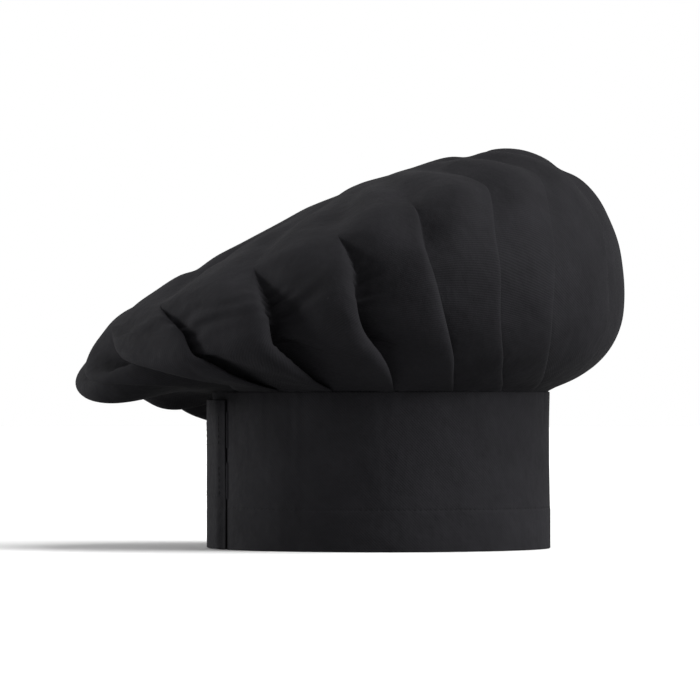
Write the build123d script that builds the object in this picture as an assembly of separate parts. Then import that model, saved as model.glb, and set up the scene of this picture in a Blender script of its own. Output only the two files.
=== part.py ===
from build123d import *
import math
import os

# A floppy chef's toque: one round panel of twill, pleated into a stiffened head band that closes at
# the back with a hook-and-loop tab. Millimetres, +Z up, +X towards the wearer's forehead.
# The origin is the centre of the head opening, in the plane that the band's lower edge rests on.

# ---- driving dimensions -------------------------------------------------------------------
BAND_RADIUS = 94.0        # outside of the head band
BAND_HEIGHT = 87.0
HEM_HEIGHT = 24.0         # the lower edge is turned up inside by this much
CLOTH = 0.5               # twill
STIFFENER = 0.4           # non-woven interfacing
AIR = 0.05                # between layers that lie on each other
TAPE = 0.8                # hook tape and loop tape
SEAM_ALLOWANCE = 10.0     # the crown's raw edge, held between the band's layers
THREAD_WIDTH = 0.4
THREAD_HEIGHT = 0.25
CROWN_WALL = 1.0          # the crown panel's thickness, made plain and a little heavy

TAB_ROOT = 169.0          # degrees round the band from +X, where the closing tab starts
TAB_SPAN = 36.0           # degrees of overlap
TAB_HEIGHT = 82.5
TAB_BOTTOM = 0.3
ROOT_CLEARANCE = 0.35     # between the band's end and the tab that hinges on it
RAMP_SPAN = 8.0           # degrees over which the band climbs to the tab's level
SLIT = 0.5                # degrees, between the two ends of the band

TAPE_HEIGHT = 20.0
TAPE_BOTTOMS = {"lower": 28.0, "upper": 56.0}
LOOP_START, LOOP_SPAN = TAB_ROOT + 3.0, 34.0
HOOK_START, HOOK_SPAN = TAB_ROOT + 8.0, 26.0

# ---- radii that follow from them ----------------------------------------------------------
OUTER_IN = BAND_RADIUS - CLOTH
STIFF_OUT = OUTER_IN - AIR
STIFF_IN = STIFF_OUT - STIFFENER
LINING_OUT = STIFF_IN - AIR
BORE_RADIUS = LINING_OUT - CLOTH
LOOP_IN = BAND_RADIUS + AIR
LOOP_OUT = LOOP_IN + TAPE
HOOK_IN = LOOP_OUT + AIR
HOOK_OUT = HOOK_IN + TAPE
TAB_IN = HOOK_OUT + AIR
TAB_LINING_OUT = TAB_IN + CLOTH
TAB_STIFF_IN = TAB_LINING_OUT + AIR
TAB_STIFF_OUT = TAB_STIFF_IN + STIFFENER
TAB_POCKET = TAB_STIFF_OUT + AIR
TAB_OUT = TAB_POCKET + CLOTH
TAB_START = TAB_ROOT + math.degrees(ROOT_CLEARANCE / TAB_OUT)
TAB_END = TAB_ROOT + TAB_SPAN
TAB_TOP = TAB_BOTTOM + TAB_HEIGHT
EDGE = math.degrees(CLOTH / TAB_OUT)   # a cloth's thickness, as an angle at the tab
AIR_TURN = math.degrees(AIR / TAB_OUT)

# ---- the crown's outline -------------------------------------------------------------------
# Rings of the puff from the seam to the top. Each has its rear point and its front point (x, z)
# in the middle plane, and half its width across. The puff stands up in front and falls back.
CROWN_RINGS = [
    ((-94.0, 87.0), (94.0, 87.0), 94.0),
    ((-126.0, 89.0), (113.0, 97.0), 118.0),
    ((-151.0, 91.5), (128.0, 113.0), 135.0),
    ((-166.0, 98.5), (135.5, 137.0), 145.0),
    ((-163.0, 114.0), (133.5, 163.0), 146.0),
    ((-147.0, 129.0), (124.0, 190.0), 136.0),
    ((-119.0, 145.5), (100.0, 213.0), 114.0),
    ((-86.0, 164.0), (64.0, 222.5), 80.0),
    ((-48.0, 187.0), (30.0, 215.0), 40.0),
]
CROWN_TOP = (-10.0, 204.5)


def sector(inner, outer, bottom, top, start, end):
    """A curved plate about the band's axis, between two radii, two heights and two angles."""
    middle = Pos((inner + outer) / 2, (bottom + top) / 2)
    section = Plane.XZ * middle * Rectangle(outer - inner, top - bottom)
    return Rot(0, 0, start) * revolve(section, Axis.Z, end - start)


def write(node, *solids):
    """Writes one STEP file for a node, a group of separate solids where it has several."""
    shape = solids[0] if len(solids) == 1 else Compound(children=list(solids))
    shape.label = node
    export_step(shape, f"parts/{node}.step")
    print(f"{node}: {len(shape.solids())} solid(s), {shape.volume:.1f} mm3")


# ---- crown -----------------------------------------------------------------------------------
def inward(before, after, point, distance, sign):
    """The point moved into the puff, at right angles to the line between its two neighbours."""
    run = Vector(after[0] - before[0], after[1] - before[1]).normalized()
    return point[0] + sign * distance * run.Y, point[1] - sign * distance * run.X


def crown_rings(inset):
    """The puff's rings, or those of its inside face where inset is the panel's thickness."""
    rears = [ring[0] for ring in CROWN_RINGS] + [CROWN_TOP]
    fronts = [ring[1] for ring in CROWN_RINGS] + [CROWN_TOP]
    sides = [(ring[2], (ring[0][1] + ring[1][1]) / 2) for ring in CROWN_RINGS] + [(0.0, CROWN_TOP[1])]
    rings = []
    for i in range(len(CROWN_RINGS)):
        if i == 0:   # the panel leaves the band almost level, so its inside face lies above
            rear = (rears[0][0], rears[0][1] + inset)
            front = (fronts[0][0], fronts[0][1] + inset)
            half_width = sides[0][0]
        else:
            rear = inward(rears[i - 1], rears[i + 1], rears[i], inset, 1)
            front = inward(fronts[i - 1], fronts[i + 1], fronts[i], inset, -1)
            half_width = inward(sides[i - 1], sides[i + 1], sides[i], inset, -1)[0]
        rings.append((rear, front, half_width))
    return rings


def puff(inset):
    """The closed body inside the crown's outer face, or inside its inner face."""
    sections = []
    for rear, front, half_width in crown_rings(inset):
        along = Vector(front[0] - rear[0], 0, front[1] - rear[1])
        middle = Vector((front[0] + rear[0]) / 2, 0, (front[1] + rear[1]) / 2)
        plane = Plane(origin=middle, x_dir=along, z_dir=Vector(0, -1, 0).cross(along) * -1)
        sections.append(plane * Ellipse(along.length / 2, half_width))
    return loft(sections, ruled=True)


def crown_panel():
    """The round panel as one hollow puff, open below, with its seam allowance inside the band."""
    mouth = Pos(0, 0, BAND_HEIGHT) * Cylinder(STIFF_IN, 4 * CROWN_WALL)
    shell = puff(0) - puff(CROWN_WALL) - mouth
    allowance = sector(STIFF_IN, STIFF_OUT, BAND_HEIGHT - SEAM_ALLOWANCE, BAND_HEIGHT, 0, 360)
    return shell + allowance


# ---- band -------------------------------------------------------------------------------------
BAND_FROM = TAB_ROOT + SLIT - 360.0   # the fixed ring runs from here, under the tab, round to the root
BAND_TO = TAB_ROOT


def band_outer():
    """The outer strip: it wraps the lower edge, turns up inside as the hem, and climbs at the root."""
    wall = sector(OUTER_IN, BAND_RADIUS, 0, BAND_HEIGHT, BAND_FROM, BAND_TO)
    fold = sector(BORE_RADIUS, BAND_RADIUS, 0, CLOTH, BAND_FROM, BAND_TO)
    turn_up = sector(BORE_RADIUS, LINING_OUT, 0, HEM_HEIGHT, BAND_FROM, BAND_TO)
    return wall + fold + turn_up + root_ramp()


def root_ramp():
    """The last stretch before the tab, where the folded strip climbs over the other end of the band."""
    low, high = math.radians(TAB_ROOT - RAMP_SPAN), math.radians(TAB_ROOT)
    middle = (low + high) / 2
    foot = Vector(OUTER_IN * math.cos(low), OUTER_IN * math.sin(low))
    toe = Vector(BAND_RADIUS * math.cos(low), BAND_RADIUS * math.sin(low))
    crest = Vector(TAB_OUT * math.cos(high), TAB_OUT * math.sin(high))
    heel = Vector(OUTER_IN * math.cos(high), OUTER_IN * math.sin(high))
    under = Vector(OUTER_IN * math.cos(middle), OUTER_IN * math.sin(middle))
    outline = Curve() + [
        Line(foot, toe),
        TangentArc(toe, crest, tangent=Vector(-math.sin(low), math.cos(low))),
        Line(crest, heel),
        ThreePointArc(heel, under, foot),
    ]
    return Pos(0, 0, TAB_BOTTOM) * extrude(make_face(outline), TAB_HEIGHT, dir=(0, 0, 1))


def band_interfacing():
    """The stiffener between the band's layers, from the fold up to the crown's seam allowance."""
    top = BAND_HEIGHT - SEAM_ALLOWANCE - CLOTH
    return sector(STIFF_IN, STIFF_OUT, CLOTH + AIR, top, BAND_FROM, BAND_TO)


def band_lining():
    """The inner strip, from the hem's turned edge up to the crown's seam."""
    return sector(BORE_RADIUS, LINING_OUT, HEM_HEIGHT + AIR, BAND_HEIGHT, BAND_FROM, BAND_TO)


# ---- closing tab ------------------------------------------------------------------------------
def tab_outer():
    """The free end of the strip, folded round its top, bottom and end as a shallow tray."""
    body = sector(TAB_IN, TAB_OUT, TAB_BOTTOM, TAB_TOP, TAB_START, TAB_END)
    pocket = sector(TAB_IN - 1, TAB_POCKET, TAB_BOTTOM + CLOTH, TAB_TOP - CLOTH, TAB_START - 1, TAB_END - EDGE)
    return body - pocket


def tab_layer(inner, outer):
    """A layer inside the tab's folded edges."""
    bottom, top = TAB_BOTTOM + CLOTH + AIR, TAB_TOP - CLOTH - AIR
    return sector(inner, outer, bottom, top, TAB_START, TAB_END - EDGE - AIR_TURN)


def tape(inner, outer, bottom, start, span):
    """A rectangle of hook tape or loop tape, bent to the band."""
    return sector(inner, outer, bottom, bottom + TAPE_HEIGHT, start, start + span)


# ---- stitching --------------------------------------------------------------------------------
STITCH_MARGIN = 1.6        # from a tape's or label's edge to its stitching
HEM_ROW = HEM_HEIGHT - 1.0
SEAM_ROW = BAND_HEIGHT - 2.5
BAR_TACK_HEIGHT, BAR_TACK_WIDTH, BAR_TACK_THICKNESS = 8.0, 1.6, 0.4
BAR_TACK_INSET = 4.0       # from the strip's top or bottom edge
BAR_TACK_GAP = 0.6         # degrees, from the tab's root


def stitch_row(inner, height, start, end):
    """A row of thread lying on a face, round the band."""
    return sector(inner, inner + THREAD_HEIGHT, height - THREAD_WIDTH / 2, height + THREAD_WIDTH / 2, start, end)


def stitch_frame(inner, bottom, start, span):
    """The box of stitching that holds a tape, as it shows on the far face of the cloth."""
    outer = inner + THREAD_HEIGHT
    edge = math.degrees(STITCH_MARGIN / inner)
    thread = math.degrees(THREAD_WIDTH / inner)
    low, high = bottom + STITCH_MARGIN, bottom + TAPE_HEIGHT - STITCH_MARGIN
    first, last = start + edge, start + span - edge
    frame = sector(inner, outer, low, high, first, last)
    hole = sector(
        inner - 1, outer + 1, low + THREAD_WIDTH, high - THREAD_WIDTH, first + thread, last - thread
    )
    return frame - hole


LABEL_WIDTH, LABEL_HEIGHT, LABEL_BOTTOM = 34.0, 22.0, 40.0
LABEL_THICKNESS = 0.2
LABEL_THREAD = 0.1         # finer thread than the band's
LABEL_MIDDLE = 222.0       # degrees, inside the band beside the closure
LABEL_HALF = math.degrees(LABEL_WIDTH / BORE_RADIUS / 2)
LABEL_FROM, LABEL_TO = LABEL_MIDDLE - LABEL_HALF, LABEL_MIDDLE + LABEL_HALF
LABEL_OUT = BORE_RADIUS - AIR
LABEL_IN = LABEL_OUT - LABEL_THICKNESS


def care_label():
    """A small blank label, sewn flat to the lining."""
    return sector(LABEL_IN, LABEL_OUT, LABEL_BOTTOM, LABEL_BOTTOM + LABEL_HEIGHT, LABEL_FROM, LABEL_TO)


def label_stitching():
    """Two short rows, above and below the label's face."""
    outer = LABEL_IN - AIR
    half = THREAD_WIDTH / 2
    rows = [LABEL_BOTTOM + STITCH_MARGIN, LABEL_BOTTOM + LABEL_HEIGHT - STITCH_MARGIN]
    return [sector(outer - LABEL_THREAD, outer, z - half, z + half, LABEL_FROM, LABEL_TO) for z in rows]


def bar_tacks():
    """Two dense tacks that hold the strip where the tab leaves the band."""
    inner = TAB_OUT + AIR
    last = TAB_ROOT - BAR_TACK_GAP
    first = last - math.degrees(BAR_TACK_WIDTH / TAB_OUT)
    bottoms = [TAB_BOTTOM + BAR_TACK_INSET, TAB_TOP - BAR_TACK_INSET - BAR_TACK_HEIGHT]
    return [sector(inner, inner + BAR_TACK_THICKNESS, z, z + BAR_TACK_HEIGHT, first, last) for z in bottoms]


def main():
    os.makedirs("parts", exist_ok=True)
    write("crown_panel", crown_panel())
    write("band_outer", band_outer())
    write("band_interfacing", band_interfacing())
    write("band_lining", band_lining())

    write("tab_outer", tab_outer())
    write("tab_interfacing", tab_layer(TAB_STIFF_IN, TAB_STIFF_OUT))
    write("tab_lining", tab_layer(TAB_IN, TAB_LINING_OUT))
    for level, bottom in TAPE_BOTTOMS.items():
        write(f"{level}_loop_tape", tape(LOOP_IN, LOOP_OUT, bottom, LOOP_START, LOOP_SPAN))
        write(f"{level}_hook_tape", tape(HOOK_IN, HOOK_OUT, bottom, HOOK_START, HOOK_SPAN))

    inside = BORE_RADIUS - AIR - THREAD_HEIGHT
    ramp_foot = TAB_ROOT - RAMP_SPAN
    write(
        "hem_stitching",
        stitch_row(BAND_RADIUS + AIR, HEM_ROW, BAND_FROM, ramp_foot),
        stitch_row(inside, HEM_ROW, BAND_FROM, BAND_TO),
    )
    write("crown_seam_stitching", stitch_row(inside, SEAM_ROW, BAND_FROM, BAND_TO))
    write(
        "loop_tape_stitching",
        *[stitch_frame(inside, z, LOOP_START, LOOP_SPAN) for z in TAPE_BOTTOMS.values()],
    )
    write(
        "hook_tape_stitching",
        *[stitch_frame(TAB_OUT + AIR, z, HOOK_START, HOOK_SPAN) for z in TAPE_BOTTOMS.values()],
    )
    write("tab_hem_stitching", stitch_row(TAB_OUT + AIR, HEM_ROW, TAB_START, TAB_END - EDGE))
    write("care_label", care_label())
    write("label_stitching", *label_stitching())
    write("bar_tacks", *bar_tacks())


main()
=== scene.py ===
"""A floppy black chef's toque: a full round crown pleated into a stiffened band, closed at the back.

Metres, +Z up, +X towards the wearer's forehead. Angles round the hat are "turns" in degrees, from the
wearer's right side (-Y) towards the back (-X), so 0 faces the camera, 90 is the back, 270 the front.
"""
import math
import random

import bpy
import numpy as np
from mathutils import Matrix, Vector, noise


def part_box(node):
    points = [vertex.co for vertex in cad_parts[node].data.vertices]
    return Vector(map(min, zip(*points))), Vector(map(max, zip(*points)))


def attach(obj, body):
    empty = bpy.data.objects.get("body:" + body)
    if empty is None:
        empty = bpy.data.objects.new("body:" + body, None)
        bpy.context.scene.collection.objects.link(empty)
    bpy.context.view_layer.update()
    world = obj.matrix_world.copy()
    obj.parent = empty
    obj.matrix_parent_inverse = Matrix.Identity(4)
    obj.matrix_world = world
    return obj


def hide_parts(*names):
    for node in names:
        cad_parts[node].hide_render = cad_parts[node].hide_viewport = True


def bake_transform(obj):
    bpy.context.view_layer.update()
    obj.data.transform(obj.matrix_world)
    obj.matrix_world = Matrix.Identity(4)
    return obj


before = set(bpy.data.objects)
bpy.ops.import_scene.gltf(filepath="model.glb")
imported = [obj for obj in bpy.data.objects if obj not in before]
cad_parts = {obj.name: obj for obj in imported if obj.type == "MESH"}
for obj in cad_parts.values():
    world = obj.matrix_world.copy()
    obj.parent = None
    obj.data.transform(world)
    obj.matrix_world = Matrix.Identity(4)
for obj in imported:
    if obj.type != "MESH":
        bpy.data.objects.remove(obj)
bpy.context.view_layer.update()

MM = 0.001
TOQUE, TAB = "toque", "closing_tab"


# ---- sizes read from the frame ----
def radii(node):
    """The smallest and largest distance of a node's vertices from the band's axis."""
    distances = [math.hypot(v.co.x, v.co.y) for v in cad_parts[node].data.vertices]
    return min(distances), max(distances)


def z_span(node):
    """A node's lowest and highest z."""
    low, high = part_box(node)
    return low[2], high[2]


BAND_TOP = z_span("band_outer")[1]
BAND_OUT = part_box("band_outer")[1][0]
BAND_IN = radii("band_lining")[0]
TAB_IN, TAB_OUT = radii("tab_lining")[0], radii("tab_outer")[1]
TAB_LOW, TAB_HIGH = z_span("tab_outer")
HEM_TOP = z_span("band_lining")[0]
HEM_ROW = sum(z_span("hem_stitching")) / 2
SEAM_ROW = sum(z_span("crown_seam_stitching")) / 2


# ---- mesh helpers ----
def mesh_object(name, points, faces, cut=None):
    """A mesh piece, with an optional UV map that holds each corner's place on the flat cloth, in metres."""
    mesh = bpy.data.meshes.new(name)
    mesh.from_pydata([tuple(p) for p in points], [], faces)
    if cut is not None:
        layer = mesh.uv_layers.new(name="cut")
        corners = np.empty(len(mesh.loops), dtype=np.int32)
        mesh.loops.foreach_get("vertex_index", corners)
        layer.data.foreach_set("uv", np.asarray(cut, dtype=np.float32)[corners].ravel())
    mesh.polygons.foreach_set("use_smooth", [True] * len(mesh.polygons))
    mesh.validate()
    mesh.update()
    piece = bpy.data.objects.new(name, mesh)
    bpy.context.scene.collection.objects.link(piece)
    return piece


def subdivide(piece):
    """Replaces a piece's mesh by its smooth surface, one level finer."""
    modifier = piece.modifiers.new("smooth", "SUBSURF")
    modifier.levels = modifier.render_levels = 1
    depsgraph = bpy.context.evaluated_depsgraph_get()
    fine = bpy.data.meshes.new_from_object(piece.evaluated_get(depsgraph), depsgraph=depsgraph)
    piece.modifiers.clear()
    coarse, piece.data = piece.data, fine
    bpy.data.meshes.remove(coarse)


def smoothstep(low, high, x):
    t = np.clip((x - low) / (high - low), 0.0, 1.0)
    return t * t * (3 - 2 * t)


def grid_faces(rows, columns):
    """Quads between the rows of a grid whose points are numbered row by row."""
    corners = [i * columns + j for i in range(rows - 1) for j in range(columns - 1)]
    return [(k, k + 1, k + columns + 1, k + columns) for k in corners]


# ---- the crown's draped surface ----
# Rings from the seam to the middle of the cloth: how far in on the flat disc (mm from its edge), the
# ring's back point and front point (x, z) and its half width (mm).
RINGS = [
    (0, (-93.5, 87.3), (93.5, 87.3), 93.5),
    (27, (-126, 89), (113, 97), 117),
    (51, (-152, 89.8), (129, 113), 133),
    (72, (-168, 95.5), (137, 137), 143),
    (92, (-160, 112.5), (135.5, 163), 145),
    (118, (-147, 129), (124, 190), 136),
    (151, (-119, 145.5), (100, 213), 114),
    (188, (-86, 164), (64, 221.5), 80),
    (228, (-48, 187), (30, 215), 40),
    (270, (-10, 204.5), (-10, 204.5), 0),
]
DISC = RINGS[-1][0]  # the flat disc's radius
ARCS = np.array([r[0] for r in RINGS], float)

# Where each pleat's fold lies at rings 0 to 6, in turns; which way it laps, +1 over the cloth on its front
# side, -1 over that on its back side; how deep the pocket beside it is; and how far from the seam
# that pocket ends, at the fold and across at the next one (mm).
PLEATS = [
    ((-63.2, -53, -47, -44.6, -45.4, -50, -60), 1, 1.5, 150, 150),
    ((-44.3, -37, -33.2, -31.2, -30.8, -32, -37.5), 1, 3.0, 178, 160),
    ((-24.4, -22, -20.6, -18.8, -15.6, -13.5, -14), 1, 7.0, 156, 130),
    ((-4, -5.1, -4.0, -1.1, 2.8, 5.0, 8), 1, 17.0, 144, 122),
    ((17, 15.8, 15.9, 17.9, 22.4, 27.6, 32), 1, 19.0, 138, 140),
    ((37.3, 33, 31.5, 35, 43, 54, 62), 1, 9.0, 118, 126),
    ((57, 40, 41, 48.5, 65, 78, 88), -1, 24.0, 104, 96),
    ((77, 57, 57, 70, 85, 92, 95), -1, 11.0, 95, 95),
    ((97, 79, 76, 92, 102, 103, 104), -1, 9.0, 110, 110),
    ((117, 101, 99, 113, 119, 116, 114), 1, 9.0, 120, 120),
    ((137, 124, 122, 134, 138, 132, 127), -1, 11.0, 125, 125),
    ((157, 148, 147, 156, 158, 150, 143), -1, 10.0, 130, 130),
    ((177, 171, 171, 178, 179, 170, 162), -1, 12.0, 140, 140),
    ((197, 195, 195, 200, 201, 193, 185), -1, 9.0, 150, 150),
    ((217, 219, 220, 223, 224, 218, 211), -1, 11.0, 145, 145),
    ((237, 243, 244, 246, 247, 243, 237), -1, 9.0, 135, 135),
    ((257, 266, 268, 269, 270, 266, 259), 1, 3.0, 150, 150),
    ((277, 287, 290, 291, 292, 287, 280), 1, 2.0, 150, 150),
]
HIDDEN = (30.7, 21.7, 14.1, 8.4, 4.9, 2.2, 0.0)  # how far each fold reaches behind, at rings 0 to 6 (mm)
LAP = 0.9  # between the layers of a fold (mm)
FOLD_COLUMNS, PANEL_COLUMNS = 10, 8
PITCH = FOLD_COLUMNS + PANEL_COLUMNS
ALLOWANCE = 8  # of cloth inside the band (mm)
SEAM_INSET = 0.75  # of that cloth, from the band's outer face (mm)


def along(values, arc):
    """A smooth curve through one value, or one point, per ring, read at a distance from the seam."""
    values = np.asarray(values, float)
    arcs = ARCS[:len(values)]
    slopes = np.empty_like(values)
    span = (arcs[2:] - arcs[:-2]).reshape((-1,) + (1,) * (values.ndim - 1))
    slopes[1:-1] = (values[2:] - values[:-2]) / span
    slopes[0] = (values[1] - values[0]) / (arcs[1] - arcs[0])
    slopes[-1] = (values[-1] - values[-2]) / (arcs[-1] - arcs[-2])
    i = int(np.clip(np.searchsorted(arcs, arc, side="right") - 1, 0, len(arcs) - 2))
    width = arcs[i + 1] - arcs[i]
    t = min(max((arc - arcs[i]) / width, 0.0), 1.0)
    start, leave = values[i], slopes[i] * width
    end, arrive = values[i + 1], slopes[i + 1] * width
    return (
        start * (2 * t**3 - 3 * t**2 + 1) + leave * (t**3 - 2 * t**2 + t)
        + end * (3 * t**2 - 2 * t**3) + arrive * (t**3 - t**2)
    )


# Soft sags and swells of the surface: where (turns, mm from the seam), how wide, and how far (mm) the
# cloth moves, in x, y, z.
SAGS = [
    (80, 50, 16, 24, (-2, 0, -12)),  # the roll that hangs lowest behind the wearer's right
    (90, 70, 40, 22, (-5, 0, -1)),  # the far end of the overhang
    (90, 167, 60, 7, (0, 0, -3)),  # shallow creases across the top
    (90, 250, 60, 8, (0, 0, -2.5)),
    (270, 203, 50, 8, (0, 0, -3)),
    (262, 150, 30, 6, (-2, 0, -2)),
    (150, 46, 16, 26, (6, 4, -29)),  # the lobes that hang behind the wearer's left
    (128, 40, 12, 22, (0, 0, -17)),
    (215, 70, 30, 40, (0, 6, -6)),
]


def surface(turns, arc):
    """Points of the puff without its pleats (mm), at one distance from the seam, negative inside the band."""
    a = np.radians(turns)
    if arc < 0:
        radius = BAND_OUT / MM - SEAM_INSET
        height = np.full_like(a, BAND_TOP / MM + arc)
        return np.stack([-radius * np.sin(a), -radius * np.cos(a), height], axis=-1)
    back = along([r[1] for r in RINGS], arc)
    front = along([r[2] for r in RINGS], arc)
    half_width = along([r[3] for r in RINGS], arc)
    middle, half = (front + back) / 2, (front - back) / 2
    points = np.stack([
        middle[0] - half[0] * np.sin(a),
        -half_width * np.cos(a),
        middle[1] - half[1] * np.sin(a),
    ], axis=-1)
    for turn, place, spread, reach, move in SAGS:
        offset = (turns - turn + 180) % 360 - 180
        weight = np.exp(-(offset / spread) ** 2 - ((arc - place) / reach) ** 2)
        weight = weight * smoothstep(0, 22, arc)
        points = points + weight[..., None] * np.array(move)
    return points


def surface_frame(turns, arc):
    """Points, outward normals and millimetres per degree of turn."""
    step_turn, step_arc = 0.5, 1.0
    points = surface(turns, arc)
    side = surface(turns + step_turn, arc) - surface(turns - step_turn, arc)
    low, high = arc - step_arc if arc < 0 else max(arc - step_arc, 0.0), min(arc + step_arc, DISC)
    up = surface(turns, high) - surface(turns, low)
    normal = np.cross(up, side)
    normal /= np.maximum(np.linalg.norm(normal, axis=-1, keepdims=True), 1e-9)
    return points, normal, np.linalg.norm(side, axis=-1) / (2 * step_turn)


# One fold in section, from behind to its rolled edge: each point's share of the hidden depth and of the
# pocket's depth, laps below the top, and reach forward and down in radii of the roll. Then the pocket's
# share and the reach again, for where the fold has opened into a plain wall.
FOLD_SECTION = [
    (-0.06, 1.0, 1.0, 0, 0, 1.0, -1.10, 0.0),
    (0.30, 1.0, 2.0, 0, 0, 0.85, -1.08, 0.1),
    (0.75, 1.0, 2.0, 0, 0, 0.69, -1.06, 0.25),
    (1.00, 0.92, 1.6, 0, 0, 0.52, -1.04, 0.4),
    (0.80, 0.70, 1.0, 0, 0, 0.34, -1.02, 0.5),
    (0.45, 0.42, 1.0, 0, 0, 0.16, -1.0, 0.7),
    (0.10, 0.20, 1.0, -0.35, 0.8, 0.0, -0.97, 0.82),
    (0.00, 0.06, 0.8, -0.95, 0.75, 0.0, -0.9, 0.6),
    (0.00, 0.0, 0.5, -0.65, 0.22, 0.0, -0.5, 0.22),
    (0.02, 0.0, 0.0, 0.3, 0.0, 0.0, 0.3, 0.0),
]
POCKET_RISE = (-8, 58)  # where a pocket deepens (mm from the seam)
POCKET_FULL = 75  # up to here it is at its deepest
POCKET_FALL = 2.6  # over 1, it grows shallow late
PANEL_CURVE = 1.2  # over 1, a pocket's floor falls away more steeply near the fold
ROLL = 6.5  # radius of the softly rolled edge beside a deep pocket, at its top (mm)


def pocket_depth(pleat, arc, across=0.0):
    """How far the cloth beside a fold lies below it (mm), at the fold or a share of the way across."""
    _, _, deepest, near_end, far_end = PLEATS[pleat]
    end = near_end + (far_end - near_end) * across
    rise = smoothstep(*POCKET_RISE, arc)
    fall = 1 - np.clip((arc - POCKET_FULL) / (end - POCKET_FULL), 0, 1) ** POCKET_FALL
    return deepest * rise * fall


def panel_level(panel, u, arc, folded):
    """How far a panel lies off the surface (mm), a share of the way across from its fold to the next one."""
    following = (panel + 1) % len(PLEATS)
    here = 0.0 if PLEATS[panel][1] > 0 else pocket_depth(panel, arc, u) + LAP * folded
    there = 0.0 if PLEATS[following][1] < 0 else pocket_depth(following, arc, 1 - u) + LAP * folded
    return -(here * (1 - u) ** PANEL_CURVE + there * u ** PANEL_CURVE)


def fold_columns(pleat, arc, hidden, folded, pitches):
    """The columns of one fold: how far each reaches behind (mm), and how far it lies off the surface (mm)."""
    lap = PLEATS[pleat][1]
    depth = pocket_depth(pleat, arc)
    opened = 1 - float(smoothstep(1.5, 8.0, hidden))
    roll = 0.35 + ROLL * (0.25 + 0.75 * float(smoothstep(15, 95, arc))) * min(depth / 13, 1.0)
    reaches, levels = [], []
    for reach, drop, laps, forward, down, open_drop, open_forward, open_down in FOLD_SECTION:
        level = -(drop * depth + laps * LAP * folded + down * roll * folded)
        behind = max(reach, 0.0) * hidden
        if lap > 0:
            cover = panel_level(pleat, min(behind / pitches[pleat], 1.0), arc, folded)
        else:
            cover = panel_level(pleat - 1, 1 - min(behind / pitches[pleat - 1], 1.0), arc, folded)
        level = min(level, cover - (laps * LAP + down * roll) * folded)
        reaches.append((reach * hidden + forward * roll) * (1 - opened) + open_forward * roll * opened)
        levels.append(level * (1 - opened) - (open_drop * depth + open_down * min(roll, depth)) * opened)
    order = slice(None) if lap > 0 else slice(None, None, -1)
    return np.array(reaches)[order] * lap, np.array(levels)[order]


def row_of_columns(arc):
    """The turns of all columns in a row, their offsets from the surface (mm), and the folds' turns."""
    count = len(PLEATS)
    outside = min(max(arc, 0.0), ARCS[6])
    edges = np.array([along(p[0], outside) for p in PLEATS])
    hidden = float(along(HIDDEN, outside))
    folded = float(smoothstep(0.2, 5.0, hidden))
    _, _, per_degree = surface_frame(edges, arc)
    pitch_turns = (np.roll(edges, -1) - edges) % 360
    pitches = pitch_turns * per_degree
    turns, offsets = np.zeros((count, PITCH)), np.zeros((count, PITCH))
    for i in range(count):
        reaches, offsets[i, :FOLD_COLUMNS] = fold_columns(i, arc, hidden, folded, pitches)
        turns[i, :FOLD_COLUMNS] = reaches / per_degree[i]
    for i in range(count):
        following = (i + 1) % count
        first, last = turns[i, FOLD_COLUMNS - 1], pitch_turns[i] + turns[following, 0]
        for j in range(PANEL_COLUMNS):
            u = (j + 1) / (PANEL_COLUMNS + 1)
            turns[i, FOLD_COLUMNS + j] = first + (last - first) * u
            offsets[i, FOLD_COLUMNS + j] = panel_level(i, u, arc, folded)
    if arc < 0:
        offsets[:] = 0.0
    steps = (np.arange(PITCH) - (FOLD_COLUMNS - 1) / 2)[None, :]
    even = steps / PITCH * np.where(steps < 0, np.roll(pitch_turns, 1)[:, None], pitch_turns[:, None])
    ends = np.array([p[3] for p in PLEATS])
    gathered = np.maximum(folded, 1 - smoothstep(ends, ends + 45, arc))[:, None]
    turns = edges[:, None] + even * (1 - gathered) + turns * gathered
    return turns.ravel(), offsets.ravel(), edges


def puckers(turns, arc, edges):
    """Soft valleys that run on from the folds over the top, and the swell between them (mm)."""
    pitch = 360 / len(PLEATS)
    nearest = np.abs((turns[:, None] - edges[None, :] + 180) % 360 - 180).min(axis=1)
    wave = np.cos(np.clip(nearest / pitch * 2, 0, 1) * math.pi)
    reach = smoothstep(95, 140, arc) * (1 - smoothstep(175, 245, arc))
    return -2.2 * wave * reach


def unevenness(points, arc):
    """Gentle random swells of the cloth (mm), none at the seam."""
    swells = [
        2.4 * noise.noise(Vector(p) / 42) + 0.9 * noise.noise(Vector(p) / 17 + Vector((5, 0, 0)))
        for p in points
    ]
    return np.array(swells) * float(smoothstep(5, 60, arc))


# Distances of the crown's rows from the seam (mm), closer together at the seam.
CROWN_ROWS = [-ALLOWANCE, -1.0, *np.linspace(0, 24, 9), *np.linspace(28, 160, 34), *np.linspace(165, 262, 20)]
HALVED = (195, 236)  # where every other column ends (mm)


def angles_on_disc(row, below):
    """Where the points of a row lie round the flat disc (radians), by the cloth between them."""
    runs = np.linalg.norm(np.roll(row, -1, axis=0) - row, axis=1)
    angles = np.concatenate([[0], np.cumsum(runs)[:-1]]) / runs.sum() * 2 * math.pi
    return angles if below is None else angles + (below - angles).mean()


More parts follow.
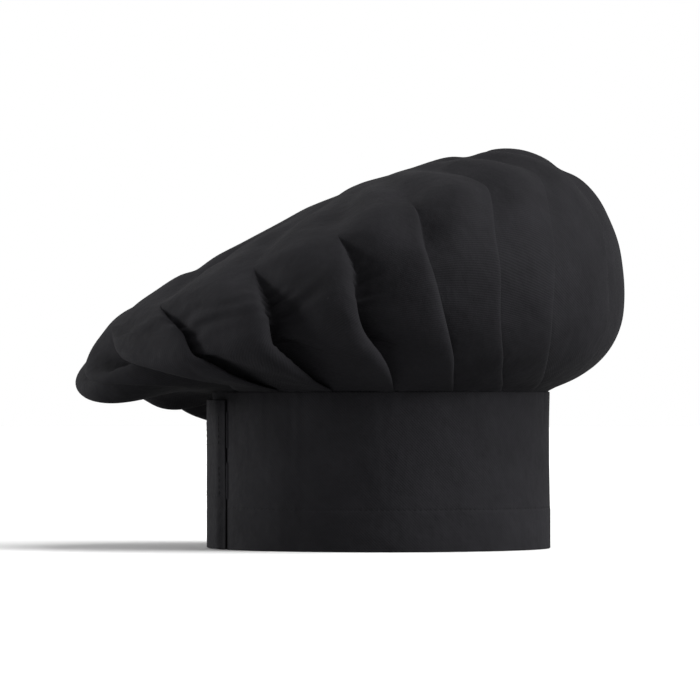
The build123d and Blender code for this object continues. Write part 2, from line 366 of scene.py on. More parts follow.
def crown_mesh():
    """The whole pleated disc: rows of columns, halved twice towards the middle."""
    points, disc, rings, arcs = [], [], [], []
    cut = None
    for arc in CROWN_ROWS:
        turns, offsets, edges = row_of_columns(arc)
        base, normal, _ = surface_frame(turns, arc)
        offsets = offsets + puckers(turns, arc, edges) + unevenness(base, arc)
        row = base + normal * offsets[:, None]
        cut = angles_on_disc(row, cut)
        step = 2 ** sum(arc >= place for place in HALVED)
        keep = range(0, len(row), step)
        rings.append((len(points), len(keep)))
        points += [row[j] * MM for j in keep]
        arcs += [arc] * len(keep)
        radius = (DISC - arc) * MM
        disc += [(radius * math.cos(cut[j]), radius * math.sin(cut[j])) for j in keep]
    middle = len(points)
    points.append(surface(np.array([0.0]), DISC)[0] * MM)
    disc.append((0.0, 0.0))
    arcs.append(DISC)
    return points, disc, arcs, ring_faces(rings, middle)


def ring_faces(rings, middle):
    """Faces between rings whose counts are equal or halved, and the fan at the middle."""
    faces = []
    for (low, count), (high, above) in zip(rings, rings[1:]):
        for j in range(above):
            k = (j + 1) % above
            if above == count:
                faces.append((low + j, low + k, high + k, high + j))
            else:
                a, b, c = 2 * j, 2 * j + 1, (2 * j + 2) % count
                faces.append((low + a, low + b, high + j))
                faces.append((low + b, low + c, high + k, high + j))
    first, count = rings[-1]
    faces += [(first + j, first + (j + 1) % count, middle) for j in range(count)]
    return faces


ROUNDS = 160  # of settling
STRETCH = 0.75  # share of an edge's error that a round takes out where cloth is too long
CRUSH = 0.3  # the same where cloth is too short, as it buckles instead
SHEAR = 0.25  # both, for the diagonals
BEND = 0.02  # pull towards the neighbours, each round
WEIGHT = 0.012 * MM  # sag under gravity, each round
HOLD_SEAM = 0.12  # share of the way back to the modelled fold, each round, near the seam
HOLD_MIDDLE = 0.03  # and in the middle


def settle(points, disc, arcs, faces):
    """Lets the cloth, cut as a flat disc and sewn in at its edge, find its own length and small folds.

    Each round moves every point towards the lengths that its edges have in the flat cut, towards its
    neighbours, down, and back towards the modelled fold.
    """
    start, flat, arcs = np.array(points), np.array(disc), np.array(arcs)
    sides = {tuple(sorted(pair)) for face in faces for pair in zip(face, face[1:] + face[:1])}
    across = {tuple(sorted(pair)) for face in faces if len(face) == 4 for pair in (face[::2], face[1::2])}
    pairs = np.array(sorted(sides) + sorted(across))
    one, two = pairs[:, 0], pairs[:, 1]
    length = np.linalg.norm(flat[one] - flat[two], axis=1)
    is_side = np.arange(len(pairs)) < len(sides)
    count = len(start)
    ends = np.concatenate([one, two])
    valence = np.bincount(ends, minlength=count)[:, None]
    a, b = one[is_side], two[is_side]
    links = np.bincount(np.concatenate([a, b]), minlength=count)[:, None]
    hold = HOLD_MIDDLE + (HOLD_SEAM - HOLD_MIDDLE) * (1 - smoothstep(4, 60, arcs))
    hold = np.where(arcs < 2, 1.0, hold)[:, None]
    here = start.copy()
    for _ in range(ROUNDS):
        span = here[two] - here[one]
        now = np.maximum(np.linalg.norm(span, axis=1), 1e-7)
        pull = np.where(now > length, STRETCH, CRUSH) * np.where(is_side, 1.0, SHEAR)
        step = span * (pull * (now - length) / now / 2)[:, None]
        moves = np.concatenate([step, -step])
        total = np.stack([np.bincount(ends, moves[:, k], count) for k in range(3)], axis=1)
        around = [np.bincount(a, here[b, k], count) + np.bincount(b, here[a, k], count) for k in range(3)]
        around = np.stack(around, axis=1) / links - here
        here = here + total * 2 / valence + BEND * around
        here[:, 2] -= WEIGHT
        here = here + hold * (start - here)
    return here


def crown_panel():
    points, disc, arcs, faces = crown_mesh()
    points = settle(points, disc, arcs, faces)
    crown = mesh_object("crown_cloth", points, faces, cut=disc)
    subdivide(crown)
    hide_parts("crown_panel")
    return crown


# ---- band ----
def node_turns(node):
    """The lowest and highest turn that a node behind the hat reaches."""
    turns = [math.degrees(math.atan2(-v.co.x, -v.co.y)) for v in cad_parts[node].data.vertices]
    return min(turns), max(turns)


def polar(turn, radius, height):
    a = math.radians(turn)
    return (-radius * math.sin(a), -radius * math.cos(a), height)


TAB_END, TAB_START = node_turns("tab_outer")  # the tab runs towards lower turns, to the camera's side
RAMP_END = TAB_START + 8.0
BAND_END = TAB_START - 0.4  # the band's inner end lies under the tab
ROUND = 360.0
PANEL_STEP = 0.75  # degrees between columns of cloth
PUCKER_TURNS = 46


def pucker_table():
    """Where the seam gathers the band a little: turn, half width in degrees, depth and reach in mm."""
    draw = random.Random(11)
    return [
        (draw.uniform(0, ROUND), draw.uniform(0.8, 2.2), draw.uniform(0.10, 0.5), draw.uniform(8, 26))
        for _ in range(PUCKER_TURNS)
    ]


PUCKERS = pucker_table()


def noise_place(turn, z, radius):
    """Where the noise of the band's relief is read (mm)."""
    return Vector((math.sin(math.radians(turn)), math.cos(math.radians(turn)), z / radius)) * radius


def band_relief(turn, height):
    """How far the band's outer face stands off its plain radius (mm): waist, hem, seams and puckers."""
    z = height / MM
    top, hem, row = BAND_TOP / MM, HEM_TOP / MM, HEM_ROW / MM
    place = noise_place(turn, z, 94)
    relief = 0.16 - 0.34 * math.sin(math.pi * min(max((z - hem) / (top - hem), 0), 1))
    relief += 0.26 * (1 - float(smoothstep(hem - 1.0, hem + 0.5, z)))
    relief += 0.30 * noise.noise(place / 45) + 0.10 * noise.noise(place / 14)
    relief += 0.10 * noise.noise(Vector((turn / 2.2, z / 30, 3.0)))
    near_row = math.exp(-((z - row) / 0.75) ** 2)
    relief -= 0.36 * near_row * (1 + 0.5 * noise.noise(Vector((turn / 1.1, 0, 0))))
    for middle, half, depth, reach in PUCKERS:
        away = (turn - middle + 180) % 360 - 180
        if abs(away) < 3 * half:
            relief -= depth * math.exp(-(away / half) ** 2) * math.exp(-(top - z) / reach)
    relief = max(min(relief, 0.5), -0.42)
    at = (turn + 180) % ROUND - 180
    past_end, past_ramp = smoothstep(TAB_END - 6, TAB_END - 1, at), smoothstep(RAMP_END - 1, RAMP_END + 4, at)
    under_tab = float(past_end * (1 - past_ramp))
    return relief * (1 - under_tab) - 0.05 * under_tab


def wall_profile():
    """The band's outer strip in section (radius, height): top edge, outer face, lower fold, hem inside."""
    outer, inner, top = BAND_OUT, BAND_IN, BAND_TOP
    heights = [0.4, 1.0, 2.5, 5, 8, 12, 16, 19.5, 21.3, 22.2, 22.6, 23, 23.4, 23.8, 24.6, 26, 28]
    heights += list(np.linspace(31, 80, 18)) + [82.5, 84.5, 86, 86.6]
    inside_top = [(outer - 0.6 * MM, top - 5 * MM, 0.0), (outer - 0.6 * MM, top - 0.35 * MM, 0.0)]
    crest = [(outer - 0.45 * MM, top, 0.5), (outer - 0.15 * MM, top + 0.05 * MM, 1.0)]
    face = [(outer, h * MM, 1.0) for h in reversed(heights)]
    fold = [(outer - 0.3 * MM, 0.06 * MM, 0.7), ((outer + inner) / 2, 0.0, 0.3)]
    fold += [(inner + 0.3 * MM, 0.06 * MM, 0.0)]
    hem = [(inner, h * MM, 0.0) for h in (0.5, 3, 8, 14, 20, 22.5)]
    hem += [(inner, HEM_TOP - 0.3 * MM, 0.0), (inner + 0.2 * MM, HEM_TOP, 0.0)]
    hem += [(inner + 0.5 * MM, HEM_TOP - 0.2 * MM, 0.0)]
    return inside_top + crest + face + fold + hem


def travel(section):
    """How far along a section each of its points lies."""
    runs = [math.dist(a[:2], b[:2]) for a, b in zip(section, section[1:])]
    return np.concatenate([[0], np.cumsum(runs)])


def swept(name, profile, turns, relief):
    """A strip of cloth round the band. Each point of its section is (radius, height, share of relief)."""
    points, cut = [], []
    for turn in turns:
        for (radius, height, share), run in zip(profile, travel(profile)):
            extra = share * relief(turn, height) * MM if share else 0.0
            points.append(polar(turn, radius + extra, height))
            cut.append((-math.radians(turn) * BAND_OUT, -run))
    return mesh_object(name, points, grid_faces(len(turns), len(profile)), cut=cut)


def turns_between(first, last, step=PANEL_STEP):
    return np.linspace(first, last, max(2, round(abs(last - first) / step) + 1))


def band_cloth():
    """The outer strip round the head, its lower edge folded up inside as the hem."""
    wall = swept("band_cloth", wall_profile(), turns_between(BAND_END, TAB_START - ROUND), band_relief)
    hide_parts("band_outer")
    return wall


def lining_relief(turn, height):
    z = height / MM
    place = noise_place(turn, z, 92)
    return 0.12 + 0.12 * noise.noise(place / 25) + 0.08 * noise.noise(Vector((turn / 1.6, z / 25, 8.0)))


def band_lining():
    """The strip inside the band, above the hem."""
    low, high = HEM_TOP - 3 * MM, BAND_TOP - 0.3 * MM
    inner = BAND_IN + 0.1 * MM
    profile = [(inner + 0.15 * MM, low, 0.0)]
    profile += [(inner, h, 1.0) for h in np.linspace(HEM_TOP + 0.4 * MM, high - 1 * MM, 22)]
    profile += [(inner + 0.35 * MM, high, 0.0)]
    lining = swept("band_lining_cloth", profile, turns_between(BAND_END, TAB_START - ROUND), lining_relief)
    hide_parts("band_lining")
    return lining


# ---- closing tab ----
TAB_LIFT = 0.5  # how far the tab's free corner stands off (mm)
TAB_CLOSE = 1.48 * MM  # how far the free end closes down on the band, past the tapes
TAB_THIN = 1.0 * MM  # how much thinner its edge is pressed
EDGE_WRAP = 6 * MM  # the outer cloth folded round the tab's edges


def closing(turn):
    """From 0 along the tab to 1 at its free end, where it lies down on the band past the tapes."""
    return float(smoothstep(TAB_END + 4.5, TAB_END, turn))


def tab_radius(turn):
    """The tab's outer face: it climbs over the band's inner end, then lies level."""
    climb = float(smoothstep(RAMP_END, TAB_START, turn)) if turn > TAB_START else 1.0
    return BAND_OUT + (TAB_OUT - BAND_OUT) * climb - (TAB_CLOSE + TAB_THIN) * closing(turn)


def tab_inner(turn):
    """The tab's inner face."""
    under = min(TAB_IN - TAB_CLOSE * closing(turn), tab_radius(turn) - 0.5 * MM)
    return max(under, BAND_OUT + 0.02 * MM)


def tab_relief(turn, height):
    """Soft relief of the tab's outer face (mm)."""
    z = height / MM
    place = Vector((turn * 1.6, 0, z))
    relief = 0.22 * noise.noise(place / 30) + 0.08 * noise.noise(place / 9)
    relief -= 0.14 * math.exp(-((z - HEM_ROW / MM) / 0.9) ** 2)
    free = float(smoothstep(TAB_START - 18, TAB_END, turn))
    return relief * float(smoothstep(RAMP_END, RAMP_END - 3, turn)) + TAB_LIFT * free ** 2 * (z / 82) ** 2


def tab_section(turn):
    """The tab's cloth in section at one turn: round the outer face and both edges, ending inside."""
    outer, inner = tab_radius(turn), tab_inner(turn)
    low, high = TAB_LOW, TAB_HIGH
    middle = (outer + inner) / 2
    heights = [low + h * MM for h in (0.3, 1.0, 3, 7, 12, 17, 20.5, 21.8, 22.4, 22.9, 23.5, 25, 28, 33)]
    heights += list(np.linspace(low + 38 * MM, high - 3 * MM, 12)) + [high - 1.0 * MM, high - 0.3 * MM]
    section = [(inner, low + EDGE_WRAP), (inner, low + 0.4 * MM), (middle, low)]
    section += [(outer, h) for h in heights]
    section += [(middle, high), (inner, high - 0.4 * MM), (inner, high - EDGE_WRAP)]
    return section


def tab_strip(name, turns, capped):
    """A stretch of the tab's outer cloth, with its free end folded under when capped."""
    points, cut = [], []
    for turn in turns:
        section = tab_section(turn)
        for (radius, height), run in zip(section, travel(section)):
            points.append(polar(turn, radius + tab_relief(turn, height) * MM, height))
            cut.append((-math.radians(turn) * BAND_OUT, run))
    columns = len(tab_section(turns[0]))
    if capped:
        add_free_end(points, cut, turns[-1])
    rows = len(points) // columns
    return mesh_object(name, points, grid_faces(rows, columns), cut=cut)


def add_free_end(points, cut, turn):
    """Rows that round the tab's free end and come back inside it."""
    outward = math.degrees(0.2 * MM / TAB_OUT)
    back = math.degrees(EDGE_WRAP / TAB_OUT)
    for shift, share in ((-outward, 0.5), (0.0, 1.0), (back, 1.0)):
        for radius, height in tab_section(turn):
            inner = tab_inner(turn + max(shift, 0)) + (0.05 * MM if share == 1.0 else 0.0)
            shown = radius + (inner - radius) * share
            height = min(max(height, TAB_LOW + 0.3 * MM), TAB_HIGH - 0.3 * MM)
            lift = tab_relief(turn + max(shift, 0), height) * MM
            points.append(polar(turn + shift, shown + lift, height))
            cut.append((-math.radians(turn - shift) * BAND_OUT, height))


def tab_lining():
    """The strip under the tab, between its folded edges, that carries the hook tapes."""
    turns = turns_between(TAB_START, TAB_END + 1.5)
    heights = np.linspace(TAB_LOW + 2 * MM, TAB_HIGH - 2 * MM, 26)
    points, cut = [], []
    for turn in turns:
        for height in heights:
            edge = float(smoothstep(0, 5 * MM, min(height - heights[0], heights[-1] - height)))
            lift = tab_relief(turn, height) * MM + 0.12 * MM - 0.1 * MM * (1 - edge)
            points.append(polar(turn, tab_inner(turn) + lift, height))
            cut.append((math.radians(turn) * BAND_OUT, height))
    lining = mesh_object("tab_lining_cloth", points, grid_faces(len(turns), len(heights)), cut=cut)
    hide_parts("tab_lining")
    return lining


def inside_tab(share):
    """A face inside the tab, a share of the way from its inner face to its outer one."""
    def radius(turn, height):
        return tab_inner(turn) * (1 - share) + tab_radius(turn) * share + tab_relief(turn, height) * MM
    return radius


def tab_stiffener():
    """The interfacing inside the tab, cut short of its edges."""
    turns = turns_between(TAB_START - 0.5, TAB_END + 1.2)
    heights = np.linspace(TAB_LOW + 1.5 * MM, TAB_HIGH - 1.5 * MM, 24)
    piece = slab("tab_stiffener", turns, heights, inside_tab(0.4), inside_tab(0.7))
    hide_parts("tab_interfacing")
    return piece


# ---- tapes and label ----
def slab(name, turns, heights, near, far):
    """A thin closed strip on the band, between two radii that are functions of turn and height."""
    points, rows, columns = [], len(turns), len(heights)
    for radius in (near, far):
        points += [polar(t, radius(t, h), h) for t in turns for h in heights]
    back = rows * columns
    faces = grid_faces(rows, columns)
    faces += [tuple(back + v for v in reversed(face)) for face in faces]
    rim = [i * columns for i in range(rows)] + [(rows - 1) * columns + j for j in range(1, columns)]
    rim += [i * columns + columns - 1 for i in reversed(range(rows - 1))]
    rim += reversed(range(1, columns - 1))
    for a, b in zip(rim, rim[1:] + rim[:1]):
        faces.append((b, a, back + a, back + b))
    return mesh_object(name, points, faces)


def closure_tape(level, kind):
    """One closure tape: a ground strip with rows of moulded hooks, or with a tangle of soft loops."""
    node = f"{level}_{kind}_tape"
    area = first, last, low, high = (*node_turns(node), *z_span(node))
    under, over = radii(node)
    thin = 0.45 * (over - under)
    reach = over - under - thin
    points, faces = [], []
    if kind == "hook":
        near, far = over, over - thin
        stand_hooks(points, faces, area, far, reach)
    else:
        near, far = under + thin, under
        stand_loops(points, faces, area, near, reach, random.Random(node))
    turns, heights = turns_between(first, last, 1.5), np.linspace(low, high, 14)
    strip = slab(f"{node}_ground", turns, heights, lambda t, h: near, lambda t, h: far)
    pile = mesh_object(f"{node}_pile", points, faces)
    for piece in (strip, pile):
        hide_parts(node)
    return [strip, pile]


def stand_hooks(points, faces, area, root, reach):
    """Rows of small hooks that stand in from the tab."""
    first, last, low, high = area
    pitch = 1.35 * MM
    across = math.degrees(pitch / root)
    for i in range(1, int((last - first) / across)):
        for j in range(1, int((high - low) / pitch)):
            turn, height = first + i * across, low + j * pitch
            lean = 0.28 * MM if i % 2 else -0.28 * MM
            path = [(root, height), (root - 0.7 * reach, height), (root - reach, height + lean),
                    (root - 0.75 * reach, height + 1.7 * lean)]
            centre = np.array([polar(turn, r, h) for r, h in path])
            side = np.array([polar(turn + 90, 1, 0.0)] * len(path))
            add_thread(points, faces, centre, side, 0.11 * MM, sides=4)


def stand_loops(points, faces, area, root, reach, draw):
    """Small loops at random angles that stand out from the band."""
    first, last, low, high = area
    count = int(1.5 * (high - low) / MM * math.radians(last - first) * root / MM)
    for _ in range(count):
        turn = draw.uniform(first + 0.6, last - 0.6)
        height = draw.uniform(low + 0.8 * MM, high - 0.8 * MM)
        angle, size = draw.uniform(0, math.pi), draw.uniform(0.35, 0.75) * MM
        top = draw.uniform(0.6, 1.0) * reach
        rise = (0.0, 0.8 * top, top, 0.8 * top, 0.0)
        slide = (-1, -0.9, 0, 0.9, 1)
        centre = []
        for k, r in zip(slide, rise):
            round_band, upwards = k * size * math.cos(angle), k * size * math.sin(angle)
            centre.append(polar(turn + math.degrees(round_band / root), root + r, height + upwards))
        side = np.array([polar(turn, math.sin(angle), math.cos(angle))] * len(centre))
        add_thread(points, faces, np.array(centre), side, 0.055 * MM, sides=3)


def care_label():
    """A blank label inside the band, held along its top edge, so its lower edge curls in a little."""
    first, last = node_turns("care_label")
    low, high = z_span("care_label")
    under, over = radii("care_label")

    def curl(turn, height):
        hang = (high - height) / (high - low)
        return 0.25 * MM * hang ** 2 * (1 + 0.4 * math.sin(math.radians(turn) * 9))

    turns, heights = turns_between(first, last, 1.0), np.linspace(low, high, 20)
    faces = (lambda t, h: under - curl(t, h), lambda t, h: over - curl(t, h))
    piece = slab("blank_label", turns, heights, *faces)
    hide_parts("care_label")
    turns = turns_between(first + 1, last - 1, SEWN_STEP)
    row = path_on(turns, high - 1.5 * MM, lambda t, h: under - PROUD, -1)
    return piece, threads("label_thread", "label_stitching", [row])


# ---- stitches ----
STITCH, GAP = 2.5 * MM, 0.45 * MM
PROUD = 0.02 * MM  # how far a row stands off the cloth
SEWN_STEP = 0.5  # degrees between points of a row
INSIDE_TURNS = turns_between(BAND_END - 1, TAB_START - ROUND + 1, SEWN_STEP)  # a row inside the band
THREAD = 0.19 * MM  # its radius


def threads(name, node, paths, stitch=STITCH, gap=GAP, radius=THREAD):
    """Rows of lockstitch for a node. Each path is (points, normals): a stitch's ends dip into the cloth."""
    points, faces = [], []
    for path, normals in paths:
        path, normals = np.array(path), np.array(normals)
        runs = np.concatenate([[0], np.cumsum(np.linalg.norm(path[1:] - path[:-1], axis=1))])
        count = max(1, int(runs[-1] // (stitch + gap)))
        pitch = runs[-1] / count
        for i in range(count):
            places = i * pitch + np.linspace(gap / 2, pitch - gap / 2, 5)
            centre = np.stack([np.interp(places, runs, path[:, k]) for k in range(3)], axis=1)
            up = np.stack([np.interp(places, runs, normals[:, k]) for k in range(3)], axis=1)
            sink = np.array([-1.3, 0.0, 0.25, 0.0, -1.3])[:, None] * radius
            add_thread(points, faces, centre + up * sink, up, radius)
    piece = mesh_object(name, points, faces)
    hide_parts(node)
    return piece


def add_thread(points, faces, centre, up, radius, sides=6):
    """One stitch as a closed tube along a few points."""
    first = len(points)
    along_path = np.gradient(centre, axis=0)
    along_path /= np.linalg.norm(along_path, axis=1)[:, None]
    across = np.cross(along_path, up)
    across /= np.linalg.norm(across, axis=1)[:, None]
    over = np.cross(across, along_path)
    for middle, side, top, thick in zip(centre, across, over, (0.55, 1, 1, 1, 0.55)):
        for k in range(sides):
            a = 2 * math.pi * k / sides
            points.append(middle + radius * thick * (math.cos(a) * side + math.sin(a) * top))
    last = len(points) - sides
    for ring in range(first, last, sides):
        for k in range(sides):
            m = (k + 1) % sides
            faces.append((ring + k, ring + m, ring + sides + m, ring + sides + k))
    faces.append(tuple(first + k for k in reversed(range(sides))))
    faces.append(tuple(last + k for k in range(sides)))


def path_on(turns, heights, radius, outward=1):
    """A path on a face, whose radius is a function of turn and height, and the directions away from it."""
    heights = np.broadcast_to(heights, len(turns))
    path = [polar(t, radius(t, h), h) for t, h in zip(turns, heights)]
    return path, [polar(t, outward, 0.0) for t in turns]


def tab_face(turn, height):
    return tab_radius(turn) + tab_relief(turn, height) * MM


def hem_stitching():
    turns = turns_between(BAND_END - 1, RAMP_END - ROUND, SEWN_STEP)
    outside = path_on(turns, HEM_ROW, lambda t, h: BAND_OUT + band_relief(t, h) * MM + PROUD)
    inside = path_on(INSIDE_TURNS, HEM_ROW, lambda t, h: BAND_IN - 0.05 * MM, -1)
    return threads("hem_thread", "hem_stitching", [outside, inside])


def seam_stitching():
    row = path_on(INSIDE_TURNS, SEAM_ROW, lambda t, h: BAND_IN + 0.1 * MM, -1)
    return threads("crown_seam_thread", "crown_seam_stitching", [row])


def tape_boxes(kind, radius, outward=1):
    """A rectangle of stitching round each tape of one kind."""
    inset = 1.6 * MM
    turn_inset = math.degrees(inset / BAND_OUT)
    paths = []
    for level in ("lower", "upper"):
        node = f"{level}_{kind}_tape"
        (left, right), (low, high) = node_turns(node), z_span(node)
        left, right, low, high = left + turn_inset, right - turn_inset, low + inset, high - inset
        corners = [(left, low), (right, low), (right, high), (left, high), (left, low)]
        for (t0, h0), (t1, h1) in zip(corners, corners[1:]):
            paths.append(path_on(np.linspace(t0, t1, 16), np.linspace(h0, h1, 16), radius, outward))
    return paths


def tab_stitching():
    """The hook tapes' stitching that shows outside the tab, and the hem row that runs on along it."""
    boxes = tape_boxes("hook", lambda t, h: tab_face(t, h) + PROUD)
    turns = turns_between(TAB_START - 0.5, TAB_END + 0.6, SEWN_STEP)
    row = path_on(turns, HEM_ROW, lambda t, h: tab_face(t, h) + PROUD)
    return [
        threads("hook_tape_thread", "hook_tape_stitching", boxes),
        threads("tab_hem_thread", "tab_hem_stitching", [row]),
    ]


def loop_stitching():
    boxes = tape_boxes("loop", lambda t, h: BAND_IN + 0.05 * MM, -1)
    return threads("loop_tape_thread", "loop_tape_stitching", boxes)


def bar_tacks():
    """Dense zigzag tacks where the tab leaves the band."""
    paths = []
    low, high = z_span("bar_tacks")
    turns = np.linspace(*node_turns("bar_tacks"), 4)
    height = 8 * MM
    for bottom in (low, high - height):
        for z in bottom + np.linspace(0, height, 26):
            heights = np.linspace(z, z + 0.15 * MM, len(turns))
            paths.append(path_on(turns, heights, lambda t, h: tab_face(t, z) + 0.1 * MM))
    return threads("bar_tack_thread", "bar_tacks", paths, stitch=1.5 * MM, gap=0.05 * MM, radius=0.17 * MM)


# ---- materials ----
class Shading:
    """A material or world being built: its node tree, with short calls for the few nodes used here."""

    def __init__(self, owner):
        self.owner = owner
        owner.use_nodes = True
        self.nodes, self.links = owner.node_tree.nodes, owner.node_tree.links

    def fill_in(self, node, values):
        """Links outputs to a node's inputs, or sets them to a number or colour."""
        for name, value in values.items():
            if isinstance(value, bpy.types.NodeSocket):
                self.links.new(value, node.inputs[name])
            else:
                node.inputs[name].default_value = value

    def node(self, kind, values):
        node = self.nodes.new("ShaderNode" + kind)
        self.fill_in(node, values)
        return node

    def noise(self, place, scale, detail=3.0, roughness=0.55):
        values = {"Vector": place, "Scale": scale, "Detail": detail, "Roughness": roughness}
        return self.node("TexNoise", values).outputs["Fac"]

    def wave(self, place, pitch, direction="DIAGONAL", distortion=0.0):
        """Bands whose sum of coordinates repeats every pitch (m)."""
        scale = 2 * math.pi / ((10 if direction == "DIAGONAL" else 20) * pitch)
        values = {"Vector": place, "Scale": scale, "Distortion": distortion, "Detail Scale": 3.0}
        node = self.node("TexWave", values)
        node.bands_direction = direction
        return node.outputs["Fac"]

    def ramp(self, value, low, high, floor=0.0, ceiling=1.0):
        values = {"Value": value, "From Min": low, "From Max": high, "To Min": floor, "To Max": ceiling}
        return self.node("MapRange", values).outputs["Result"]

    def combine(self, one, two, operation="ADD"):
        node = self.node("Math", {0: one, 1: two})
        node.operation = operation
        return node.outputs["Value"]

    def blend(self, share, dark, light):
        """A colour a share of the way between two. Inputs 6 and 7 are a colour mix's own."""
        node = self.node("Mix", {0: share, 6: dark, 7: light})
        node.data_type = "RGBA"
        return node.outputs[2]

    def bump(self, height, distance, below=None):
        values = {"Height": height, "Distance": distance, "Strength": 1.0}
        if below is not None:
            values["Normal"] = below
        return self.node("Bump", values).outputs["Normal"]

    def place(self, cut):
        """Coordinates in metres: on the flat cloth, or in the object."""
        if cut:
            node = self.node("UVMap", {})
            node.uv_map = "cut"
            return node.outputs["UV"]
        return self.node("TexCoord", {}).outputs["Object"]

    def finish(self, colour, roughness, normal, specular=0.08, sheen=0.0):
        values = {"Base Color": colour, "Roughness": roughness, "Normal": normal,
                  "Specular IOR Level": specular, "Sheen Weight": sheen, "Sheen Roughness": 0.45}
        self.fill_in(self.nodes["Principled BSDF"], values)
        return self.owner


def grey(value, blue=1.12):
    return (value, value * 0.975, value * blue, 1)


TWILL_PITCH = 0.0012  # between the twill's ribs (m)


def twill():
    """Black cotton twill: diagonal ribs, uneven yarn, uneven dye, a little lint and faint crumples."""
    s = Shading(bpy.data.materials.new("black_twill"))
    cloth, solid = s.place(True), s.place(False)
    ribs = s.wave(cloth, TWILL_PITCH * math.sqrt(2), distortion=0.7)
    yarn = s.noise(cloth, 1700, 2)
    slub = s.noise(cloth, 260, 3)
    dye = s.noise(solid, 16, 4, 0.6)
    patches = s.noise(solid, 55, 3)
    weave = s.combine(s.combine(ribs, 0.55, "MULTIPLY"), s.combine(yarn, 0.45, "MULTIPLY"))
    tone = s.combine(s.ramp(weave, 0.1, 0.9, 0.0, 0.30), s.ramp(dye, 0.3, 0.7, 0.02, 0.26))
    tone = s.combine(tone, s.ramp(slub, 0.3, 0.7, 0.0, 0.16))
    tone = s.combine(tone, s.ramp(patches, 0.35, 0.7, 0.0, 0.14))
    colour = s.blend(tone, grey(0.0054), grey(0.0198))
    lint = s.ramp(s.noise(cloth, 620, 1, 0.3), 0.80, 0.86, 0.0, 0.35)
    colour = s.blend(lint, colour, grey(0.05, 1.0))
    crumple = s.bump(s.noise(solid, 42, 4, 0.5), 0.0016)
    fine = s.bump(s.noise(solid, 170, 3), 0.00035, crumple)
    normal = s.bump(weave, 0.00010, fine)
    return s.finish(colour, s.ramp(slub, 0.3, 0.7, 0.82, 0.95), normal, sheen=0.004)


def interfacing():
    """Bonded fibres, pressed flat."""
    s = Shading(bpy.data.materials.new("interfacing"))
    place = s.place(False)
    fibres = s.noise(place, 900, 5, 0.8)
    clumps = s.noise(place, 120, 3)
    colour = s.blend(s.ramp(fibres, 0.3, 0.7), grey(0.10, 1.0), grey(0.22, 1.0))
    return s.finish(colour, s.ramp(clumps, 0.3, 0.7, 0.8, 0.95), s.bump(fibres, 0.0002))


def ribbed(name, wave, fuzz, shades, roughness, relief, specular):
    """Ribs (pitch, direction, distortion) under fuzz (scale, detail), between two shades of grey."""
    s = Shading(bpy.data.materials.new(name))
    place = s.place(False)
    ribs, fuzz = s.wave(place, *wave), s.noise(place, *fuzz)
    colour = s.blend(s.combine(s.combine(ribs, fuzz), 0.5, "MULTIPLY"), *map(grey, shades))
    return s.finish(colour, s.ramp(fuzz, 0.3, 0.7, *roughness), s.bump(ribs, relief), specular=specular)


def thread():
    """Spun thread with its ply twist."""
    return ribbed("thread", (0.0009, "DIAGONAL", 0.3), (2600, 2), (0.004, 0.013), (0.65, 0.85), 0.00006, 0.12)


def tape(name, shades, roughness, specular):
    """The woven ground of a closure tape and what stands on it."""
    return ribbed(name, (0.0011, "Z", 0.4), (1500, 3), shades, (roughness - 0.1, roughness), 0.0001, specular)


def label():
    """Blank woven satin, slightly yellowed by wear."""
    s = Shading(bpy.data.materials.new("label"))
    place = s.place(False)
    floats = s.wave(place, 0.0006, "Z", distortion=0.3)
    dirt = s.noise(place, 70, 4)
    colour = s.blend(s.combine(s.ramp(floats, 0, 1, 0, 0.4), s.ramp(dirt, 0.3, 0.7, 0, 0.6)),
                     (0.80, 0.79, 0.74, 1), (0.66, 0.64, 0.58, 1))
    return s.finish(colour, s.ramp(dirt, 0.3, 0.7, 0.35, 0.55), s.bump(floats, 0.00006), specular=0.35)


# ---- stage ----
VIEW_CENTRE = Vector((-0.0173, 0.0, 0.1104))
VIEW_WIDTH = 0.3906
CAMERA_DISTANCE = 3.2
CAMERA_HEIGHT = 0.085
FILL_LIGHT = 0.40  # the world's strength as a light; the camera sees it at 1
FLOOR_BOUNCE, FLOOR_SEEN = 0.4, 0.9
FLOOR_RADIUS, FLOOR_SIDES = 12.0, 64
LAMPS = {  # turns, degrees up, width in degrees, strength
    "key": (-66, 22, 28, 3.2),
    "left": (94, 5, 14, 1.9),
    "top": (-80, 58, 50, 2.5),
    "rim": (118, 14, 25, 1.2),
}


def camera():
    data = bpy.data.cameras.new("camera")
    eye = Vector((VIEW_CENTRE.x, -CAMERA_DISTANCE, CAMERA_HEIGHT))
    data.lens = data.sensor_width * CAMERA_DISTANCE / VIEW_WIDTH
    data.clip_end = 50
    rig = bpy.data.objects.new("camera", data)
    rig.location = eye
    rig.rotation_euler = (VIEW_CENTRE - eye).to_track_quat("-Z", "Y").to_euler()
    bpy.context.scene.collection.objects.link(rig)
    bpy.context.scene.camera = rig


def soft_sun(name, turn, height, spread, strength):
    """A very wide sun, like a far softbox: where it stands (turns and degrees up), its width and strength."""
    data = bpy.data.lights.new(name, "SUN")
    data.angle = math.radians(spread)
    data.energy = strength
    lamp = bpy.data.objects.new(name, data)
    a, up = math.radians(turn), math.radians(height)
    towards = Vector((-math.sin(a) * math.cos(up), -math.cos(a) * math.cos(up), math.sin(up)))
    lamp.rotation_euler = towards.to_track_quat("Z", "Y").to_euler()
    bpy.context.scene.collection.objects.link(lamp)


def floor_material():
    """White to the camera, but a dull grey to the light that would bounce up under the hat."""
    s = Shading(bpy.data.materials.new("floor"))
    to_camera = s.node("LightPath", {}).outputs["Is Camera Ray"]
    colour = s.blend(to_camera, (FLOOR_BOUNCE,) * 3 + (1,), (FLOOR_SEEN,) * 3 + (1,))
    s.fill_in(s.nodes["Principled BSDF"], {"Base Color": colour, "Roughness": 0.9})
    return s.owner


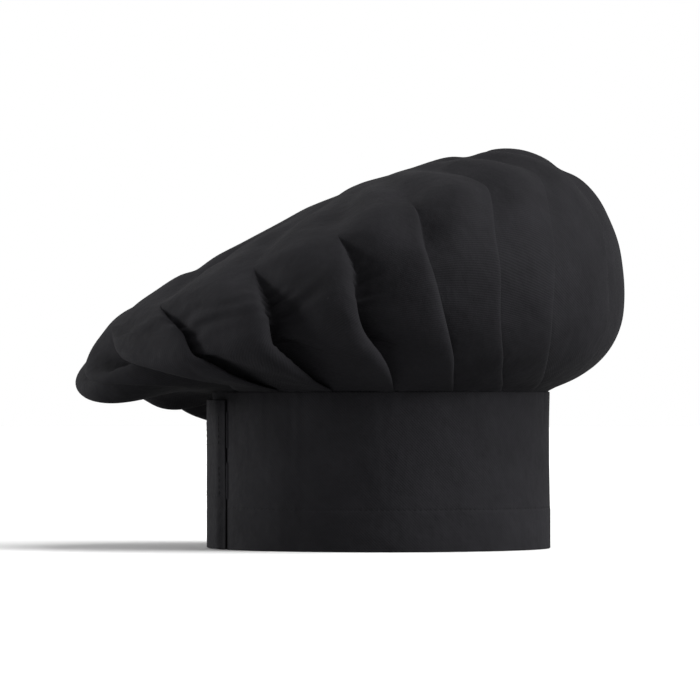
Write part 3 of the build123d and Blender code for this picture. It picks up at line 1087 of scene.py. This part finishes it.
def studio():
    """A plain round floor, a backdrop and the lamps."""
    angles = np.linspace(0, 2 * math.pi, FLOOR_SIDES, False)
    points = [(0, 0, 0)] + [(FLOOR_RADIUS * math.cos(a), FLOOR_RADIUS * math.sin(a), 0) for a in angles]
    faces = [(0, 1 + i, 1 + (i + 1) % FLOOR_SIDES) for i in range(FLOOR_SIDES)]
    floor = mesh_object("floor", points, faces)
    floor.data.materials.append(floor_material())
    backdrop()
    for name, lamp in LAMPS.items():
        soft_sun(name, *lamp)
    bpy.context.scene.view_settings.view_transform = "Standard"


def backdrop():
    """A white sweep behind the hat, whose own light on the cloth is dimmer than it looks."""
    s = Shading(bpy.data.worlds.new("world"))
    bpy.context.scene.world = s.owner
    seen = s.nodes["Background"]
    s.fill_in(seen, {"Color": (1, 1, 1, 1), "Strength": 1.0})
    fill = s.node("Background", {"Color": (1, 1, 1, 1), "Strength": FILL_LIGHT})
    to_camera = s.node("LightPath", {}).outputs["Is Camera Ray"]
    mix = s.node("MixShader", {0: to_camera, 1: fill.outputs["Background"], 2: seen.outputs["Background"]})
    s.fill_in(s.nodes["World Output"], {"Surface": mix.outputs["Shader"]})


def add(piece, body, material):
    """Puts a piece on its body and its material."""
    piece.data.materials.clear()
    piece.data.materials.append(material)
    if body is not None:
        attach(piece, body)
    return piece


def peel(piece):
    """Bakes a piece's placement into its mesh points."""
    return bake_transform(piece)


def main():
    camera()
    studio()
    cloth, sewing = twill(), thread()
    for piece in (crown_panel(), band_cloth(), band_lining()):
        add(piece, TOQUE, cloth)
    root = tab_strip("tab_root_cloth", turns_between(RAMP_END, TAB_START), False)
    add(root, TOQUE, cloth)
    tab = tab_strip("tab_cloth", turns_between(TAB_START, TAB_END), True)
    add(tab, None, cloth)
    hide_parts("tab_outer")
    peel(tab)
    peel(add(tab_lining(), None, cloth))
    for piece in (hem_stitching(), seam_stitching(), loop_stitching(), bar_tacks()):
        add(piece, TOQUE, sewing)
    for piece in tab_stitching():
        add(piece, TAB, sewing)
    finishes = {
        "hook": (TAB, tape("hook_tape", (0.010, 0.026), 0.55, 0.35)),
        "loop": (TOQUE, tape("loop_tape", (0.008, 0.024), 0.95, 0.05)),
    }
    for kind, (body, finish) in finishes.items():
        for level in ("lower", "upper"):
            for piece in closure_tape(level, kind):
                add(piece, body, finish)
    blank, rows = care_label()
    add(blank, TOQUE, label())
    add(rows, TOQUE, sewing)
    stiffener = interfacing()
    peel(add(tab_stiffener(), None, stiffener))
    for name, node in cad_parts.items():
        node.data.materials.clear()
        node.data.materials.append(stiffener if "interfacing" in name else cloth)


main()
